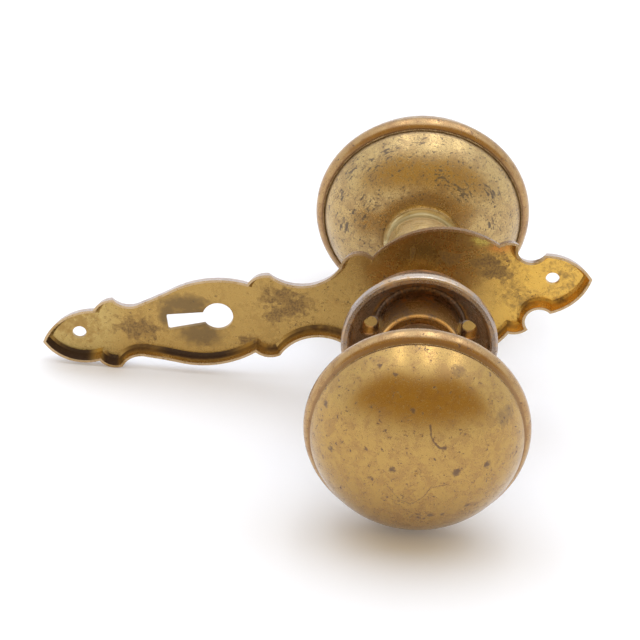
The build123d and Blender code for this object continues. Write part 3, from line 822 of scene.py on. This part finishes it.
# %% Rose finish
inside_colour_and_light = blend_colours(tree, painted_side_light, (0.26, 0.150, 0.078, 1), (0.52, 0.40, 0.31, 1))
inside_colour_and_light = blend_colours(tree, strongest(tree, painted_floor_highlight, painted_hub_highlight), inside_colour_and_light,
                             (0.95, 0.56, 0.18, 1))
inside_colour_and_light = blend_colours(tree, painted_hub_foot_shade, inside_colour_and_light, (0.14, 0.080, 0.042, 1))
rim_colour_and_light = blend_colours(tree, painted_side_light, (0.58, 0.48, 0.39, 1), (0.40, 0.33, 0.29, 1))
inside_tarnish = blend_colours(tree, rust, (0.26, 0.17, 0.11, 1), (0.52, 0.23, 0.06, 1))
away_from_foot = calculate(tree, "SUBTRACT", hollow, painted_hub_foot_shade, clamp=True)
age(tree, shader, 0.06, {
    "Place": place, "Seed": 1.0, "Metal": blend_colours(tree, hollow, rim_colour_and_light, inside_colour_and_light),
    "Tarnish": blend_colours(tree, hollow, (0.56, 0.38, 0.22, 1), inside_tarnish),
    "Grime": (0.085, 0.052, 0.036, 1), "Cloud size": 6.0, "Tarnish cover": 0.42,
    "Speck size": 0.8, "Speck cover": 0.2, "Scratch share": 0.3, "Smooth": 0.26, "Dull": 0.40,
    "Film": calculate(tree, "MULTIPLY_ADD", strongest(tree, painted_hub_highlight, hollow), 0.45, 0.08),
    "More tarnish": times(tree, rust, 0.45, away_from_foot)})
print(rose_finish.name, "has", len(tree.nodes), "nodes")

# %% [markdown]
# ## Collar and steel
# The collar behind the plate is plain brass. The spindle, the washers, the pin and the set screw
# are mild steel, grey-brown from age, with a little rust. Steel could have a group of its own,
# but aged steel also has a clean metal, a film on it and dirt in it: only its colours change.

# %% Plain finishes
PLAIN_FINISHES = {
    "collar_brass": (0.05, {
        "Seed": 2.0, "Metal": (0.48, 0.33, 0.16, 1), "Tarnish": (0.28, 0.17, 0.08, 1),
        "Cloud size": 6.0, "Tarnish cover": 0.5, "Speck size": 0.9, "Speck cover": 0.15,
        "Scratch share": 0.4,
        "Smooth": 0.28, "Dull": 0.45, "Film": 0.2}),
    "spindle_steel": (0.06, {
        "Seed": 6.0, "Metal": (0.30, 0.28, 0.26, 1), "Tarnish": (0.13, 0.095, 0.075, 1),
        "Grime": (0.10, 0.04, 0.018, 1), "Cloud size": 5.0, "Tarnish cover": 0.6, "Speck size": 0.8,
        "Speck cover": 0.3, "Scratch share": 0.5, "Smooth": 0.35, "Dull": 0.6}),
    "fastener_steel": (0.04, {
        "Seed": 7.0, "Metal": (0.36, 0.33, 0.30, 1), "Tarnish": (0.17, 0.12, 0.09, 1),
        "Grime": (0.09, 0.05, 0.03, 1), "Cloud size": 3.0, "Tarnish cover": 0.5, "Speck size": 0.5,
        "Speck cover": 0.25, "Scratch share": 0.5, "Smooth": 0.32, "Dull": 0.55}),
}
plain = {}
for name, (pit_depth, values) in PLAIN_FINISHES.items():
    plain[name], tree, shader, place = new_finish(name)
    age(tree, shader, pit_depth, {"Place": place, **values})
print("plain finishes:", list(plain))

# %% [markdown]
# ## Dressing the pieces
# Each piece gets its finish by name. The pieces' shapes aren't touched: only their materials
# change. The four small steel fastenings share one finish.

# %% Dress every piece
FINISHES = {
    "front_knob_dome": dome_finish, "front_knob_back": shell_finish,
    "rear_knob_dome": dome_finish, "rear_knob_back": shell_finish,
    "front_neck": front_neck_finish, "rear_neck": rear_neck_finish,
    "long_plate": plate_finish, "plate_collar": plain["collar_brass"], "rose": rose_finish,
    "spindle": plain["spindle_steel"],
    **dict.fromkeys(("rear_pin", "set_screw", "front_clench_washer", "rear_clench_washer"),
                    plain["fastener_steel"]),
}
for name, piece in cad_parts.items():
    for slot in piece.material_slots:
        slot.material = FINISHES[name]
print("dressed:", len(FINISHES))

# %% [markdown]
# ## Old polish in the grooves
# Every cleaning left some polish in the grooves beside the beads, where it dried to a brown
# crumbly line that no cloth reaches. It could be painted on, but real crumbs catch light and
# soften the groove's edge. Dried polish is dull and brown, lighter where it is thick. It isn't
# metal, so it needs no tarnish.

# %% Polish finish
polish_finish, tree, shader, place = new_finish("old_polish")
cloudy = use_group(tree, clouds_group, {"Place": place, "Size": 2.0, "Seed": 9.0})
thick = ramp(tree, cloudy["Broad"], 0.4, 0.6)
tree.links.new(blend_colours(tree, thick, (0.26, 0.160, 0.065, 1), (0.42, 0.28, 0.12, 1)),
               shader.inputs["Base Color"])
shader.inputs["Roughness"].default_value = 0.55
print("finish:", polish_finish.name)

# %% [markdown]
# ### A tree that lays crumbs
# The crumbs repeat along circles. They could be placed one by one in a loop, but a node tree
# does it faster and keeps its sizes as named inputs: circles become curves, points go along
# them, and each point gets a crumb of its own size and turn.

# %% Crumbs along circles
FULL_TURNS = (6.283, 6.283, 6.283)
crumbs_tree = bpy.data.node_groups.new("crumbs_along_circles", "GeometryNodeTree")
for label, kind, value in (("Geometry", "Geometry", None), ("Spacing", "Float", 0.0006),
                           ("Crumb size", "Float", 0.0004), ("Unevenness", "Float", 0.3),
                           ("Seed", "Int", 5), ("Finish", "Material", None)):
    socket = crumbs_tree.interface.new_socket(name=label, in_out="INPUT",
                                              socket_type="NodeSocket" + kind)
    if value is not None:
        socket.default_value = value
crumbs_tree.interface.new_socket(name="Geometry", in_out="OUTPUT", socket_type="NodeSocketGeometry")
given = add_node(crumbs_tree, "NodeGroupInput").outputs
circles = add_node(crumbs_tree, "GeometryNodeMeshToCurve", {"Mesh": given["Geometry"]})
along = add_node(crumbs_tree, "GeometryNodeCurveToPoints",
                 {"Curve": circles.outputs["Curve"], "Length": given["Spacing"]}, mode="LENGTH")
crumb = add_node(crumbs_tree, "GeometryNodeMeshIcoSphere",
                 {"Radius": given["Crumb size"], "Subdivisions": 2})
turns = add_node(crumbs_tree, "FunctionNodeRandomValue", {"Seed": given["Seed"], "Max": FULL_TURNS},
                 data_type="FLOAT_VECTOR").outputs[0]
least = calculate(crumbs_tree, "SUBTRACT", 1.0, given["Unevenness"])
sizes = add_node(crumbs_tree, "FunctionNodeRandomValue", {"Seed": given["Seed"], 2: least},
                 data_type="FLOAT").outputs[1]
placed = add_node(crumbs_tree, "GeometryNodeInstanceOnPoints",
                  {"Points": along.outputs["Points"], "Instance": crumb.outputs["Mesh"],
                   "Rotation": turns, "Scale": sizes})
real = add_node(crumbs_tree, "GeometryNodeRealizeInstances", {0: placed.outputs["Instances"]})
painted = add_node(crumbs_tree, "GeometryNodeSetMaterial", {"Geometry": real.outputs[0],
                                                            "Material": given["Finish"]})
crumbs_tree.links.new(painted.outputs[0], add_node(crumbs_tree, "NodeGroupOutput").inputs["Geometry"])
print("nodes in the crumbs tree:", len(crumbs_tree.nodes))

# %% [markdown]
# ### Circles to follow
# Each knob has two grooves, one on each side of its bead. A guide could be a curve object, but
# bare edges are enough, because the tree turns them into curves.

# %% Guide circles in the grooves
CIRCLE_POINTS = 256
GROOVE_LINES = ((27.80, 61.95), (27.85, 55.3))


def guide_circles(name, side):
    """Bare circles in a knob's grooves. The side is -1 for the front knob, 1 for the rear one."""
    corners, edges = [], []
    for radius, from_middle in GROOVE_LINES:
        first = len(corners)
        for step in range(CIRCLE_POINTS):
            angle = 2 * math.pi * step / CIRCLE_POINTS
            corners.append((radius * math.sin(angle) / MM_IN_METRE,
                            (KNOBS_MIDDLE_Y + side * from_middle) / MM_IN_METRE,
                            radius * math.cos(angle) / MM_IN_METRE))
            edges.append((first + step, first + (step + 1) % CIRCLE_POINTS))
    mesh = bpy.data.meshes.new(name)
    mesh.from_pydata(corners, edges, [])
    guide = bpy.data.objects.new(name, mesh)
    bpy.context.collection.objects.link(guide)
    return guide


print("groove radii:", [radius for radius, _ in GROOVE_LINES])

# %% [markdown]
# ### Laying the crumbs
# The tree runs on the guide as a modifier. Its result is kept as a plain mesh, and the guide is
# thrown away, so nothing is left that could be worked out differently later. The crumbs ride
# with their knob, because they turn with it.

# %% Crumbs on each knob
def lay_crumbs(name, side, seed, body):
    """Lays crumbs in a knob's two grooves, and lets them ride on its body."""
    guide = guide_circles(name + "_guide", side)
    maker = guide.modifiers.new("crumbs", "NODES")
    maker.node_group = crumbs_tree
    sockets = {item.name: item.identifier for item in crumbs_tree.interface.items_tree
               if item.in_out == "INPUT"}
    for label, value in (("Spacing", 0.0005), ("Crumb size", 0.00030), ("Unevenness", 0.45),
                         ("Seed", seed), ("Finish", polish_finish)):
        maker[sockets[label]] = value
    evaluated = guide.evaluated_get(bpy.context.evaluated_depsgraph_get())
    mesh = bpy.data.meshes.new_from_object(evaluated)
    mesh.materials.clear()
    mesh.materials.append(polish_finish)
    guide.modifiers.remove(maker)
    bpy.data.objects.remove(guide)
    residue = bpy.data.objects.new(name, mesh)
    bpy.context.collection.objects.link(residue)
    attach(residue, body)
    print(name, "faces:", len(mesh.polygons), "materials:", [m.name for m in mesh.materials])


lay_crumbs("front_groove_polish", -1, 5, "front_knob")
lay_crumbs("rear_groove_polish", 1, 8, "spindle_set")
